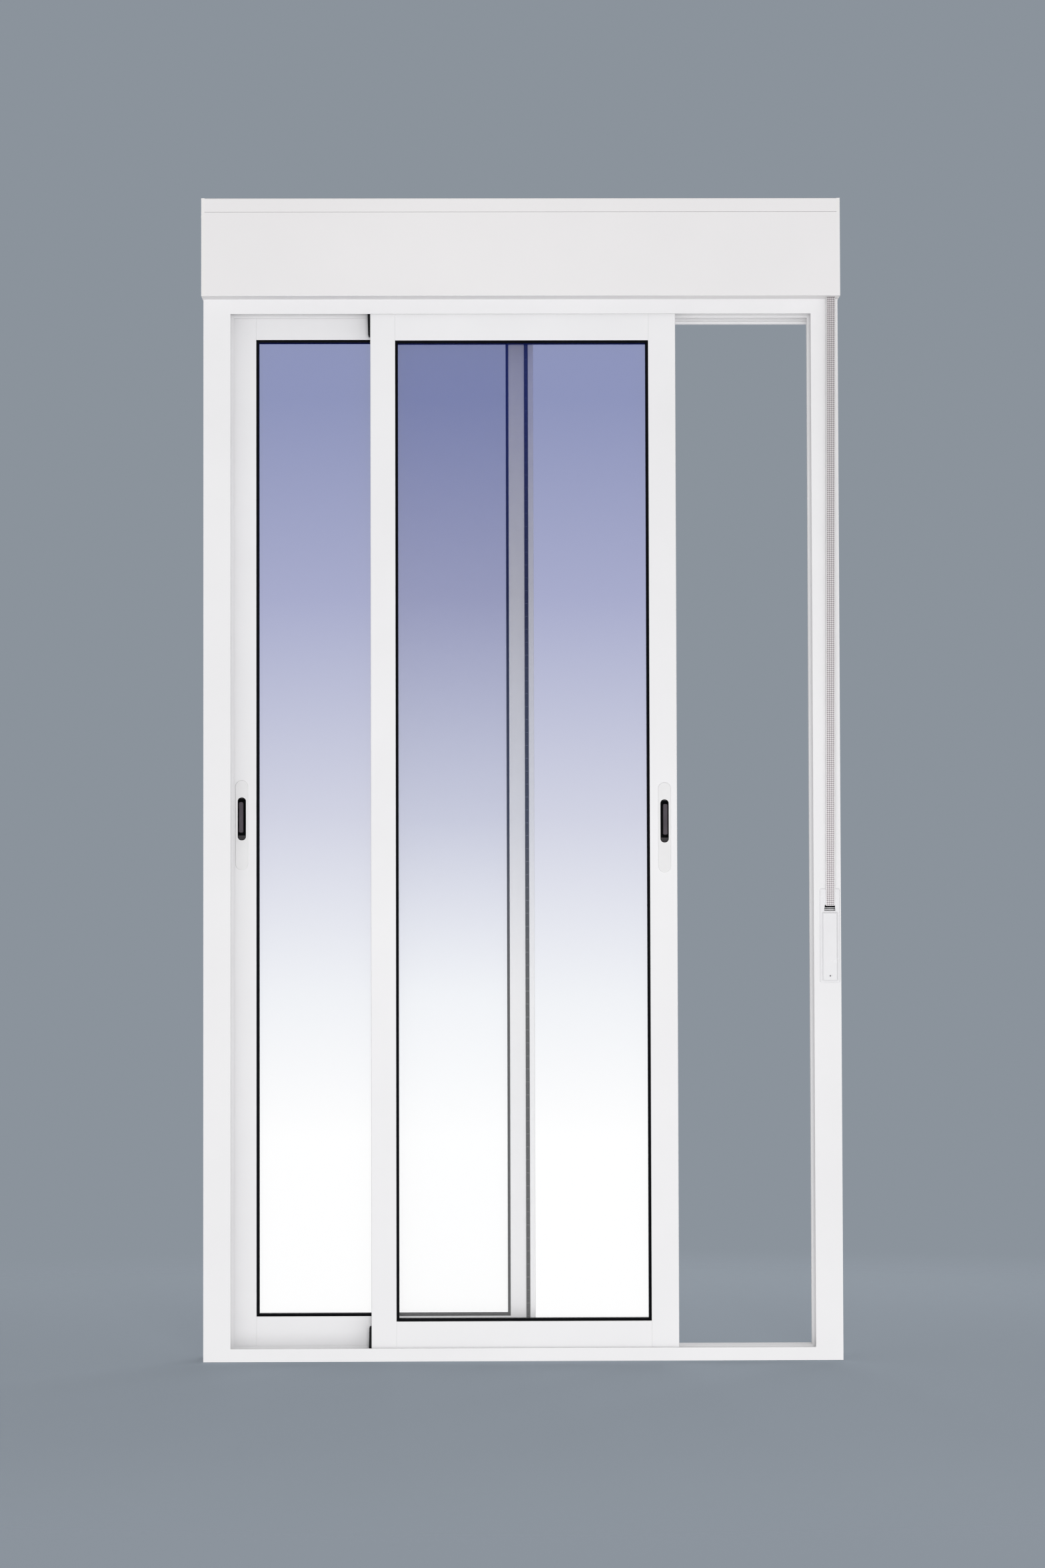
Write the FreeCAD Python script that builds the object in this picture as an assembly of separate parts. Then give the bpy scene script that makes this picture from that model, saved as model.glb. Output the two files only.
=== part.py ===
import FreeCAD, Part
import math
import os

from collections import namedtuple
from FreeCAD import Vector

# Sliding patio door: two glazed leaves in a lacquered aluminium frame, under a roller-shutter box.
# Millimetres. X runs to the right as seen from the room, Y runs outdoors and Z runs up.
# The origin is the middle of the sill's underside.

# Frame
frame_width = 1200.0
frame_height = 2000.0
lip_wall = 2.0                  # every wall of the frame sections
jamb_base = 28.0                # hollow foot of a jamb, against the masonry
jamb_face = 51.3                # width of a jamb seen from the room
jamb_partition_proud = 4.0      # middle lip, beyond the room-side lip
jamb_rear_proud = 2.0           # outdoor lip, beyond the room-side lip
head_face = 27.6
head_partition_proud = 2.0
head_rear_proud = 2.0
sill_face = 24.5
sill_partition_proud = 1.5
sill_rear_proud = 1.5
track_width = 3.0               # sill rail that the wheels run on
track_bite = 7.5                # how far the rail reaches up into a leaf
guide_width = 2.0               # head fin that keeps a leaf upright
guide_bite = 8.0                # how far the fin reaches down into the room-side leaf
fixing_hole = 8.0
fixing_access = 16.0            # window that the screw goes in by
fixing_pitch = 500.0
fixing_middle = 1000.0
fixing_rows = 4

# Leaves
leaf_depth = 28.0
run_clearance = 5.0             # leaf to lips, on both faces
lip_tuck = 12.0                 # leaf edge behind the lips of head and sill
pocket_entry = 5.3              # closed leaf's edge behind the jamb's room-side lip
lock_stile = 51.5
meeting_stile = 47.0
rail_show = 49.5                # rail height that shows between lip and glass
leaf_wall = 2.0
glazing_lip = 2.5               # walls beside the glass and beside the wheels
glazing_depth = 15.0
wheel_groove = 34.0             # depth of the bottom rail's wheel groove
guide_groove = 24.0             # depth of the top rail's guide groove
outer_lift = 7.0                # the outdoor leaf rides this much higher
inner_opening = 261.5           # how far the room-side leaf stands open
profile_round = 1.5
lip_round = 0.8

# Meeting stile's sealing fin and brush groove
fin_width = 10.0
fin_proud = 5.5
fin_wall = 2.0
brush_width = 7.6
brush_groove = 4.0
brush_stand = 3.5               # bristle tips above the stile's face
brush_gap = 0.3

# Glazing
pane = 4.0
pane_space = 8.0
glass_edge_gap = 3.0            # glass edge to the bottom of its channel
spacer_width = 9.0
gasket_show = 5.0
gasket_chamfer = 1.2

# Rollers and guides
seat_gap = 0.3
wheel_radius = 11.0
wheel_seat = 9.0
wheel_width = 8.0
wheel_flange = 1.4
wheel_seat_width = 3.8
axle_radius = 3.0
axle_gap = 0.15
carriage_length = 70.0
carriage_wall = 2.0
carriage_drop = 23.0
carriage_inset = 90.0           # carriage middle from the leaf's edge
guide_length = 40.0
guide_gap = 0.5
guide_floor_gap = 3.0

# Wind stops on the free edge of a meeting stile
stop_height = 52.0
stop_foot = 5.3
stop_tip = 4.1
stop_depth = 24.0
stop_round = 3.0

# Latch
latch_inset = 23.9              # latch middle from the lock edge
latch_height = 987.5            # latch plate's middle above the leaf's foot
latch_width = 24.0
latch_length = 170.0
latch_plate = 1.5
latch_slot_width = 15.7
latch_slot_length = 81.5
latch_slot_rise = 12.0
latch_slot_round = 7.4
latch_pan_depth = 13.0
latch_pan_wall = 1.2
latch_fit = 0.2
latch_shelf_depth = 4.0         # shallow ends of the pan
latch_shelf_low = 9.5
latch_shelf_high = 2.5
trigger_width = 8.5
trigger_length = 58.0
trigger_offset = 1.5            # towards the jamb
trigger_rise = 3.0
trigger_sink = 1.0              # trigger face below the plate's face
trigger_round = 3.0
trigger_edge = 1.2

# Shutter box
box_height = 185.0
box_overhang = 43.0             # into the room, beyond the frame's face
box_panel = 6.0
box_band = 26.0                 # top panel's front band
box_joint = 0.5                 # open joint under the band
box_tongue = 8.0
box_tongue_wall = 3.0
box_round = 2.0
cap_wall = 6.0
cap_proud = 1.5                 # beyond the frame's sides
boss_radius = 18.0
boss_proud = 2.0
boss_rise = 111.0
pin_radius = 3.0
pin_rise = 154.0
curtain_slot_side = 14.0        # slot walls clear of the end slat

# Shutter guides and end slat
rail_depth = 45.0
rail_width = 50.0
rail_wall = 2.0
rail_slot = 16.0
rail_slot_depth = 30.0
slat_gap = 0.5
slat_end_gap = 2.0
slat_drop = 33.0                # slat's lower edge below the frame's top
slat_height = 48.0
slat_wall = 1.6
slat_round = 4.0

# Strap and winder
strap_width = 16.5
strap_thickness = 1.2
strap_top_inset = 14.5          # strap middle from the frame's side, at the box
strap_shift = 0.8               # strap middle from the winder's middle, at the winder
strap_top_stand = 22.0          # strap to frame face at the box
strap_slot_stand = 4.0          # strap to frame face at the winder
strap_inside = 40.0
strap_turn = 2.6
strap_end_depth = 1.5           # strap's hidden end behind the frame face
strap_hole_gap = 0.5
winder_inset = 21.2             # winder middle from the frame's side
winder_middle = 795.0
winder_width = 37.6
winder_length = 177.0
winder_plate = 2.5
winder_round = 3.0
winder_edge = 1.0
winder_slot_gap = 0.45          # mouth to strap, at the mouth's narrow top
winder_slot_flare = 1.0         # each side, towards the mouth's foot
winder_slot_height = 11.0
winder_slot_rise = 52.5
winder_cover_width = 29.5
winder_cover_length = 130.0
winder_cover_proud = 4.0
winder_cover_drop = 20.5
winder_cover_edge = 2.5

# Sizes that follow
half_width = frame_width / 2
frame_depth = 3 * lip_wall + 2 * leaf_depth + 4 * run_clearance
room_face = -frame_depth / 2
outdoor_face = frame_depth / 2
leaf_pitch = leaf_depth + 2 * run_clearance + lip_wall
closed_edge = half_width - jamb_face + pocket_entry
leaf_width = closed_edge + meeting_stile / 2
leaf_bottom = sill_face - lip_tuck
leaf_height = frame_height - head_face + lip_tuck - leaf_bottom
rail_height = rail_show + lip_tuck
channel_width = leaf_depth - 2 * glazing_lip
guide_tip = head_face - lip_tuck + guide_bite
glass_unit = 2 * pane + pane_space
box_front = room_face - box_overhang
box_back = outdoor_face + rail_depth
box_top = frame_height + box_height
box_half = half_width + cap_proud - cap_wall
slat_depth = rail_slot - 2 * slat_gap
slat_middle = outdoor_face + rail_depth / 2
slat_foot = frame_height - slat_drop
fin_foot = sill_face + sill_partition_proud + run_clearance
fin_top = frame_height - head_face - head_partition_proud - run_clearance
strap_top_x = half_width - strap_top_inset
winder_x = half_width - winder_inset
strap_slot_x = winder_x + strap_shift
winder_slot_z = winder_middle + winder_slot_rise
strap_entry_z = winder_slot_z + winder_slot_height / 2 - winder_slot_gap - strap_thickness / 2
winder_cover_z = winder_middle - winder_cover_drop

Leaf = namedtuple("Leaf", "name lock_edge hand middle lift fin_side")
inner = Leaf("inner", closed_edge - inner_opening, 1, -leaf_pitch / 2, 0.0, 1)
outer = Leaf("outer", -closed_edge, -1, leaf_pitch / 2, outer_lift, -1)


def outline_wire(corners, place):
    """Closed wire through (a, b) or (a, b, radius) corners, mapped into space by place."""
    points = [place(corner[0], corner[1]) for corner in corners]
    radii = [corner[2] if len(corner) > 2 else 0.0 for corner in corners]
    arcs = []
    for index, point in enumerate(points):
        back = (points[index - 1] - point).normalize()
        ahead = (points[(index + 1) % len(points)] - point).normalize()
        half_angle = back.getAngle(ahead) / 2
        run = radii[index] / math.tan(half_angle)
        reach = radii[index] / math.sin(half_angle) - radii[index]
        middle = point + (back + ahead).normalize() * reach
        arcs.append((point + back * run, middle, point + ahead * run))
    edges = []
    for index, (start, middle, end) in enumerate(arcs):
        if radii[index] > 0:
            edges.append(Part.Arc(start, middle, end).toShape())
        following = arcs[(index + 1) % len(arcs)][0]
        if end.distanceToPoint(following) > Part.Precision.confusion():
            edges.append(Part.LineSegment(end, following).toShape())
    return Part.Wire(edges)


def prism(rings, place, travel):
    """Solid from an outer ring of corners and any hole rings, pushed along travel."""
    wires = [outline_wire(ring, place) for ring in rings]
    return Part.makeFace(wires, "Part::FaceMakerBullseye").extrude(travel)


def rectangle(a_low, a_high, b_low, b_high, radius=0.0):
    corners = [(a_low, b_low), (a_high, b_low), (a_high, b_high), (a_low, b_high)]
    return [(a, b, radius) for a, b in corners]


def block(x_low, x_high, y_low, y_high, z_low, z_high):
    size = Vector(x_high - x_low, y_high - y_low, z_high - z_low)
    return Part.makeBox(size.x, size.y, size.z, Vector(x_low, y_low, z_low))


def soften_rim(solid, y_level, size):
    """Chamfer the edges that lie in the plane y = y_level."""
    boxes = [(edge, edge.BoundBox) for edge in solid.Edges]
    rim = [edge for edge, box in boxes if max(abs(box.YMin - y_level), abs(box.YMax - y_level)) < size / 2]
    return solid.makeChamfer(size, rim)


def comb_corners(base, teeth):
    """Comb section: a base strip with teeth (start, end, reach); the outer two have round tips."""
    first_start, first_end, first_reach = teeth[0]
    last_start, last_end, last_reach = teeth[-1]
    corners = [(0.0, first_start), (first_reach, first_start, lip_round), (first_reach, first_end, lip_round)]
    corners.append((base, first_end))
    for start, end, reach in teeth[1:-1]:
        corners += [(base, start), (reach, start), (reach, end), (base, end)]
    corners += [(base, last_start), (last_reach, last_start, lip_round), (last_reach, last_end, lip_round)]
    corners.append((0.0, last_end))
    return corners


def frame_teeth(face, partition_proud, rear_proud):
    front_lip = (room_face, room_face + lip_wall, face)
    partition = (-lip_wall / 2, lip_wall / 2, face + partition_proud)
    rear_lip = (outdoor_face - lip_wall, outdoor_face, face + rear_proud)
    return front_lip, partition, rear_lip


def rail_tooth(leaf, width, reach):
    return (leaf.middle - width / 2, leaf.middle + width / 2, reach)


# Frame

def jamb(side):
    """Upright with a hollow foot and three lips that make a pocket for each leaf."""
    def place(reach, depth):
        return Vector(side * (half_width - reach), depth, 0)
    outline = comb_corners(jamb_base, frame_teeth(jamb_face, jamb_partition_proud, jamb_rear_proud))
    chamber = rectangle(lip_wall, jamb_base - lip_wall, room_face + lip_wall, outdoor_face - lip_wall)
    upright = prism([outline, chamber], place, Vector(0, 0, frame_height))
    for row in range(fixing_rows):
        height = fixing_middle + (row - (fixing_rows - 1) / 2) * fixing_pitch
        start = Vector(side * half_width, inner.middle, height)
        drill = Part.makeCylinder(fixing_hole / 2, lip_wall, start, Vector(-side, 0, 0))
        upright = upright.cut(drill).cut(fixing_window(side, height))
    return upright


def fixing_window(side, height):
    """Access for a fixing screw and its driver, in the wall between foot and pocket."""
    pocket_x = side * (half_width - jamb_base)
    x_low, x_high = sorted((pocket_x, pocket_x + side * lip_wall))
    half = fixing_access / 2
    return block(x_low, x_high, inner.middle - half, inner.middle + half, height - half, height + half)


def head():
    """Top track between the jambs, with a guide fin over each leaf."""
    lip, partition, rear = frame_teeth(head_face, head_partition_proud, head_rear_proud)
    fins = [rail_tooth(leaf, guide_width, guide_tip) for leaf in (inner, outer)]
    span = half_width - jamb_base

    def place(reach, depth):
        return Vector(-span, depth, frame_height - reach)
    outline = comb_corners(lip_wall, [lip, fins[0], partition, fins[1], rear])
    return prism([outline], place, Vector(2 * span, 0, 0))


def sill():
    """Bottom track between the jambs, with a rail under each leaf."""
    lip, partition, rear = frame_teeth(sill_face, sill_partition_proud, sill_rear_proud)
    rails = [rail_tooth(leaf, track_width, leaf_bottom + leaf.lift + track_bite) for leaf in (inner, outer)]
    span = half_width - jamb_base

    def place(reach, depth):
        return Vector(-span, depth, reach)
    outline = comb_corners(lip_wall, [lip, rails[0], partition, rails[1], rear])
    return prism([outline], place, Vector(2 * span, 0, 0))


def build_frame():
    left = jamb(-1)
    right = jamb(1)
    pieces = {"head_track": head().cut(left).cut(right), "sill_track": sill().cut(left).cut(right)}
    pieces["left_jamb"] = left
    pieces["right_jamb"] = right.cut(winder_mouth(room_face - winder_plate, room_face + lip_wall))
    return pieces


# Leaves

def leaf_plan(leaf):
    """Map (distance from the lock edge, depth from the leaf's middle) to the leaf's foot."""
    def place(across, depth):
        return Vector(leaf.lock_edge - leaf.hand * across, leaf.middle + depth, leaf_bottom + leaf.lift)
    return place


def across_span(leaf, start, end):
    """Low and high X of a stretch given by distances from the lock edge."""
    return sorted((leaf.lock_edge - leaf.hand * start, leaf.lock_edge - leaf.hand * end))


def glazing_mouth(start, face):
    """Corners of the open channel that holds the glass; start is the channel's rim."""
    floor = start - glazing_depth
    wall = face - glazing_lip
    return [(start, -face, lip_round), (start, -wall), (floor, -wall), (floor, wall), (start, wall),
            (start, face, lip_round)]


def notch_tracks(leaf, piece, width):
    """Clear a piece's ends for the sill rail and the head fin that it slides over."""
    x_low, x_high = across_span(leaf, -stop_foot, leaf_width + stop_foot)
    y_low = leaf.middle - width / 2
    y_high = leaf.middle + width / 2
    foot = leaf_bottom + leaf.lift
    top = foot + leaf_height
    fin_tip = frame_height - guide_tip
    piece = piece.cut(block(x_low, x_high, y_low, y_high, foot, foot + track_bite + run_clearance))
    return piece.cut(block(x_low, x_high, y_low, y_high, fin_tip - run_clearance, top))


def clear_partitions(leaf, stile):
    """Cut the sealing fin short of the middle lips of sill and head."""
    x_low, x_high = across_span(leaf, leaf_width - meeting_stile, leaf_width)
    face = leaf.middle + leaf.fin_side * leaf_depth / 2
    y_low, y_high = sorted((face, face + leaf.fin_side * fin_proud))
    foot = leaf_bottom + leaf.lift
    stile = stile.cut(block(x_low, x_high, y_low, y_high, foot, fin_foot))
    return stile.cut(block(x_low, x_high, y_low, y_high, fin_top, foot + leaf_height))


def lock_stile_piece(leaf):
    face = leaf_depth / 2
    outline = [(0.0, face, profile_round), (0.0, -face, profile_round)] + glazing_mouth(lock_stile, face)
    inner_wall = lock_stile - glazing_depth - leaf_wall
    chamber = rectangle(leaf_wall, inner_wall, leaf_wall - face, face - leaf_wall)
    stile = prism([outline, chamber], leaf_plan(leaf), Vector(0, 0, leaf_height))
    return notch_tracks(leaf, stile, channel_width).cut(latch_window(leaf))


def meeting_stile_piece(leaf):
    """Stile with a brush groove and a sealing fin facing the other leaf."""
    face = leaf_depth / 2
    groove_end = fin_width + brush_width
    under_fin = face + fin_proud - fin_wall
    outline = [(0.0, -face, profile_round)] + glazing_mouth(meeting_stile, face)
    outline += [(groove_end, face), (groove_end, face - brush_groove)]
    outline += [(fin_width, face - brush_groove), (fin_width, face), (fin_wall, face)]
    outline += [(fin_wall, under_fin), (fin_width, under_fin), (fin_width, face + fin_proud, lip_round)]
    outline += [(0.0, face + fin_proud, profile_round)]
    inner_wall = meeting_stile - glazing_depth - leaf_wall
    chamber = rectangle(leaf_wall, inner_wall, leaf_wall - face, face - brush_groove - leaf_wall)
    plan = leaf_plan(leaf)

    def place(from_free_edge, depth):
        return plan(leaf_width - from_free_edge, leaf.fin_side * depth)
    stile = prism([outline, chamber], place, Vector(0, 0, leaf_height))
    return notch_tracks(leaf, clear_partitions(leaf, stile), channel_width)


def leaf_rail(leaf, foot, groove, upright):
    """Hollow rail with a glazing channel on one side and a track groove on the other."""
    face = leaf_depth / 2
    wall = channel_width / 2
    outline = [(-wall, 0.0), (-face, 0.0), (-face, rail_height, lip_round)]
    outline += [(-wall, rail_height), (-wall, rail_height - glazing_depth)]
    outline += [(wall, rail_height - glazing_depth), (wall, rail_height), (face, rail_height, lip_round)]
    outline += [(face, 0.0), (wall, 0.0), (wall, groove), (-wall, groove)]
    chamber_top = rail_height - glazing_depth - leaf_wall
    chamber = rectangle(leaf_wall - face, face - leaf_wall, groove + leaf_wall, chamber_top)
    x_low, x_high = across_span(leaf, lock_stile, leaf_width - meeting_stile)

    def place(depth, height):
        return Vector(x_low, leaf.middle + depth, foot + upright * height)
    return prism([outline, chamber], place, Vector(x_high - x_low, 0, 0))


def glazing_frame(leaf, y_low, y_high, reach_out, reach_in):
    """Rectangular ring round the glass opening; reaches are measured from the channel's rim."""
    foot = leaf_bottom + leaf.lift
    rim = (lock_stile, leaf_width - meeting_stile, foot + rail_height, foot + leaf_height - rail_height)
    outside = block(*across_span(leaf, rim[0] - reach_out, rim[1] + reach_out), y_low, y_high,
                    rim[2] - reach_out, rim[3] + reach_out)
    inside = block(*across_span(leaf, rim[0] + reach_in, rim[1] - reach_in), y_low, y_high,
                   rim[2] + reach_in, rim[3] - reach_in)
    return outside, outside.cut(inside)


def glazing_pieces(leaf):
    """Two panes on a spacer, held by a black gasket of U section."""
    edge = glazing_depth - glass_edge_gap
    half_unit = glass_unit / 2
    unit = glazing_frame(leaf, leaf.middle - half_unit, leaf.middle + half_unit, edge, 0.0)[0]
    room_pane = glazing_frame(leaf, leaf.middle - half_unit, leaf.middle - pane_space / 2, edge, 0.0)[0]
    outdoor_pane = glazing_frame(leaf, leaf.middle + pane_space / 2, leaf.middle + half_unit, edge, 0.0)[0]
    spacer = glazing_frame(leaf, leaf.middle - pane_space / 2, leaf.middle + pane_space / 2,
                           edge, spacer_width - edge)[1]
    half_channel = channel_width / 2
    gasket = glazing_frame(leaf, leaf.middle - half_channel, leaf.middle + half_channel,
                           glazing_depth, gasket_show)[1]
    rims = inner_rim_edges(gasket)
    gasket = gasket.makeChamfer(gasket_chamfer, rims).cut(unit)
    return {"glass_panes": Part.makeCompound([room_pane, outdoor_pane]), "glass_spacer": spacer,
            "glass_gasket": gasket}


def inner_rim_edges(ring):
    """Edges round the opening of a rectangular ring, on both of its faces."""
    outer_box = ring.BoundBox

    def on_opening(edge):
        box = edge.BoundBox
        across_clear = box.XMin - outer_box.XMin > gasket_show and outer_box.XMax - box.XMax > gasket_show
        level_clear = box.ZMin - outer_box.ZMin > gasket_show and outer_box.ZMax - box.ZMax > gasket_show
        return across_clear and level_clear and box.YLength < gasket_show
    return [edge for edge in ring.Edges if on_opening(edge)]


def brush_strip(leaf):
    face = leaf_depth / 2
    low = face - brush_groove
    ring = rectangle(fin_width + brush_gap, fin_width + brush_width - brush_gap, low, face + brush_stand)
    plan = leaf_plan(leaf)

    def place(from_free_edge, depth):
        return plan(leaf_width - from_free_edge, leaf.fin_side * depth)
    strip = prism([ring], place, Vector(0, 0, fin_top - fin_foot))
    strip.translate(Vector(0, 0, fin_foot - leaf_bottom - leaf.lift))
    return strip


def carriage_places(leaf):
    """X of the two roller carriages and of the two head guides."""
    return [leaf.lock_edge - leaf.hand * across for across in (carriage_inset, leaf_width - carriage_inset)]


def roller_wheels(leaf):
    """Grooved wheels on their axles, standing on the sill rail."""
    half_axle = channel_width / 2
    half_wheel = wheel_width / 2
    half_seat = wheel_seat_width / 2
    profile = [(-half_axle, 0.0), (-half_axle, axle_radius), (-half_wheel, axle_radius)]
    profile += [(-half_wheel, wheel_radius), (wheel_flange - half_wheel, wheel_radius)]
    profile.append((-half_seat, wheel_seat))
    profile += [(-depth, radius) for depth, radius in reversed(profile)]
    axle_z = leaf_bottom + leaf.lift + track_bite + seat_gap + wheel_seat
    wheels = []
    for x in carriage_places(leaf):
        centre = Vector(x, leaf.middle, axle_z)
        wire = outline_wire(profile, lambda depth, radius: centre + Vector(0, depth, radius))
        wheels.append(Part.Face(wire).revolve(centre, Vector(0, 1, 0), 360))
    return Part.makeCompound(wheels)


def roller_carriages(leaf):
    """Inverted channels that fill the wheel groove and carry the axles."""
    half = channel_width / 2
    ring = [(-half, -carriage_drop), (-half, 0.0), (half, 0.0), (half, -carriage_drop)]
    ring += [(half - carriage_wall, -carriage_drop), (half - carriage_wall, -carriage_wall)]
    ring += [(carriage_wall - half, -carriage_wall), (carriage_wall - half, -carriage_drop)]
    ceiling = leaf_bottom + leaf.lift + wheel_groove
    axle_z = leaf_bottom + leaf.lift + track_bite + seat_gap + wheel_seat
    carriages = []
    for x in carriage_places(leaf):
        start = x - carriage_length / 2
        body = prism([ring], lambda depth, drop: Vector(start, leaf.middle + depth, ceiling + drop),
                     Vector(carriage_length, 0, 0))
        bore_start = Vector(x, leaf.middle - leaf_depth / 2, axle_z)
        bore = Part.makeCylinder(axle_radius + axle_gap, leaf_depth, bore_start, Vector(0, 1, 0))
        carriages.append(body.cut(bore))
    return Part.makeCompound(carriages)


def head_guides(leaf):
    """Slotted blocks in the top rail that straddle the head fin."""
    half = channel_width / 2
    half_slot = guide_width / 2 + guide_gap
    top = leaf_bottom + leaf.lift + leaf_height
    slot_floor = frame_height - guide_tip - guide_floor_gap - top
    ring = [(-half, -guide_groove), (-half, 0.0), (-half_slot, 0.0), (-half_slot, slot_floor)]
    ring += [(half_slot, slot_floor), (half_slot, 0.0), (half, 0.0), (half, -guide_groove)]
    guides = []
    for x in carriage_places(leaf):
        start = x - guide_length / 2
        guides.append(prism([ring], lambda depth, drop: Vector(start, leaf.middle + depth, top + drop),
                            Vector(guide_length, 0, 0)))
    return Part.makeCompound(guides)


def wind_stops(leaf):
    """Tapered black blocks on the free edge of the meeting stile, at its head and foot."""
    ring = [(0.0, 0.0), (stop_foot, 0.0), (stop_tip, stop_height, stop_round), (0.0, stop_height)]
    foot = leaf_bottom + leaf.lift
    y_low = leaf.middle - stop_depth / 2
    stops = []
    for level, upward in ((foot, 1), (foot + leaf_height, -1)):
        def place(beyond, height):
            x = leaf.lock_edge - leaf.hand * (leaf_width + beyond)
            return Vector(x, y_low, level + upward * height)
        stops.append(prism([ring], place, Vector(0, stop_depth, 0)))
    return notch_tracks(leaf, Part.makeCompound(stops), track_width + 2 * run_clearance)


# Latch

def latch_plane(leaf, y_level, centre_rise, centre_offset=0.0):
    """Map (towards the glass, up) from a latch point to the plane y = y_level."""
    centre_x = leaf.lock_edge - leaf.hand * (latch_inset + centre_offset)
    centre_z = leaf_bottom + leaf.lift + latch_height + centre_rise

    def place(across, up):
        return Vector(centre_x - leaf.hand * across, y_level, centre_z + up)
    return place


def centred(width, length, radius):
    return rectangle(-width / 2, width / 2, -length / 2, length / 2, radius)


def latch_block(leaf, ring, start, depth):
    """Push a ring round the slot's middle in from the leaf's room-side face."""
    room_side = leaf.middle - leaf_depth / 2
    return prism([ring], latch_plane(leaf, room_side + start, latch_slot_rise), Vector(0, depth, 0))


def latch_slot():
    return centred(latch_slot_width, latch_slot_length, latch_slot_round)


def latch_shell(growth):
    return centred(latch_slot_width + 2 * growth, latch_slot_length + 2 * growth, 0.0)


def latch_window(leaf):
    return latch_block(leaf, latch_shell(latch_pan_wall + latch_fit), 0.0, leaf_depth / 2)


def latch_plate_piece(leaf):
    """Stadium plate on the stile's face, with a slot for the finger."""
    face = leaf.middle - leaf_depth / 2 - latch_plate
    ring = centred(latch_width, latch_length, latch_width / 2)
    plate = prism([ring], latch_plane(leaf, face, 0.0), Vector(0, latch_plate, 0))
    plate = soften_rim(plate, face, latch_plate / 2)
    return plate.cut(latch_block(leaf, latch_slot(), -latch_plate, latch_plate))


def latch_case(leaf):
    """Finger pan behind the plate: deep beside the trigger, shallow at the slot's ends."""
    shell = latch_block(leaf, latch_shell(latch_pan_wall), 0.0, latch_pan_depth)
    shallow = latch_block(leaf, latch_slot(), 0.0, latch_shelf_depth)
    half = latch_slot_width / 2
    low = latch_shelf_low - latch_slot_length / 2
    high = latch_slot_length / 2 - latch_shelf_high
    deep = latch_block(leaf, rectangle(-half, half, low, high), 0.0, latch_pan_depth - latch_pan_wall)
    return shell.cut(shallow).cut(deep)


def latch_trigger(leaf):
    """Finger piece that slides towards the glass in the pan."""
    room_side = leaf.middle - leaf_depth / 2
    front = room_side - latch_plate + trigger_sink
    back = room_side + latch_pan_depth - latch_pan_wall - seat_gap
    ring = centred(trigger_width, trigger_length, trigger_round)
    plane = latch_plane(leaf, front, latch_slot_rise + trigger_rise, -trigger_offset)
    return soften_rim(prism([ring], plane, Vector(0, back - front, 0)), front, trigger_edge)


def build_leaf(leaf):
    foot = leaf_bottom + leaf.lift
    top = foot + leaf_height
    pieces = {"lock_stile": lock_stile_piece(leaf), "meeting_stile": meeting_stile_piece(leaf)}
    pieces["bottom_rail"] = leaf_rail(leaf, foot, wheel_groove, 1)
    pieces["top_rail"] = leaf_rail(leaf, top, guide_groove, -1)
    pieces.update(glazing_pieces(leaf))
    pieces["meeting_brush"] = brush_strip(leaf)
    pieces["roller_wheels"] = roller_wheels(leaf)
    pieces["roller_carriages"] = roller_carriages(leaf)
    pieces["head_guides"] = head_guides(leaf)
    pieces["wind_stops"] = wind_stops(leaf)
    pieces["latch_plate"] = latch_plate_piece(leaf)
    pieces["latch_case"] = latch_case(leaf)
    pieces["latch_trigger"] = latch_trigger(leaf)
    return {leaf.name + "_" + name: shape for name, shape in pieces.items()}


# Shutter box

def box_profile(corners):
    """Push a (depth, height) outline along the box between its end caps."""
    def place(depth, height):
        return Vector(-box_half, depth, height)
    return prism([corners], place, Vector(2 * box_half, 0, 0))


def box_top_panel():
    front_inside = box_front + box_panel
    under = box_top - box_panel
    band_foot = box_top - box_band
    corners = [(box_front, band_foot), (front_inside, band_foot), (front_inside, under), (box_back, under)]
    corners += [(box_back, box_top), (box_front, box_top, box_round)]
    return box_profile(corners)


def box_front_cover():
    """Removable cover with a tongue behind the band; its right end laps over the cap."""
    front_inside = box_front + box_panel
    edge = box_top - box_band - box_joint
    tongue_face = front_inside + box_joint
    tongue_back = tongue_face + box_tongue_wall
    shoulder = edge - box_panel
    tip = edge + box_tongue
    corners = [(box_front, frame_height, box_round), (front_inside, frame_height), (front_inside, shoulder)]
    corners += [(tongue_back, shoulder), (tongue_back, tip), (tongue_face, tip)]
    corners += [(tongue_face, edge), (box_front, edge)]
    cover = box_profile(corners)
    lap = block(box_half, box_half + cap_wall, box_front, front_inside, frame_height, edge)
    return cover.fuse(lap).removeSplitter()


def strap_opening():
    """Slot in the box's underside that the strap comes out of."""
    half_x = strap_width / 2 + strap_hole_gap
    half_y = strap_thickness / 2 + strap_hole_gap
    x_middle = strap_x(frame_height)
    y_middle = strap_y(frame_height)
    return block(x_middle - half_x, x_middle + half_x, y_middle - half_y, y_middle + half_y,
                 frame_height, frame_height + box_panel)


def box_bottom_panel():
    back = slat_middle - curtain_slot_side
    panel = block(-box_half, box_half, box_front + box_panel, back, frame_height, frame_height + box_panel)
    return panel.cut(strap_opening())


def box_back_panel():
    return block(-box_half, box_half, box_back - box_panel, box_back, frame_height, box_top - box_panel)


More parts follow.
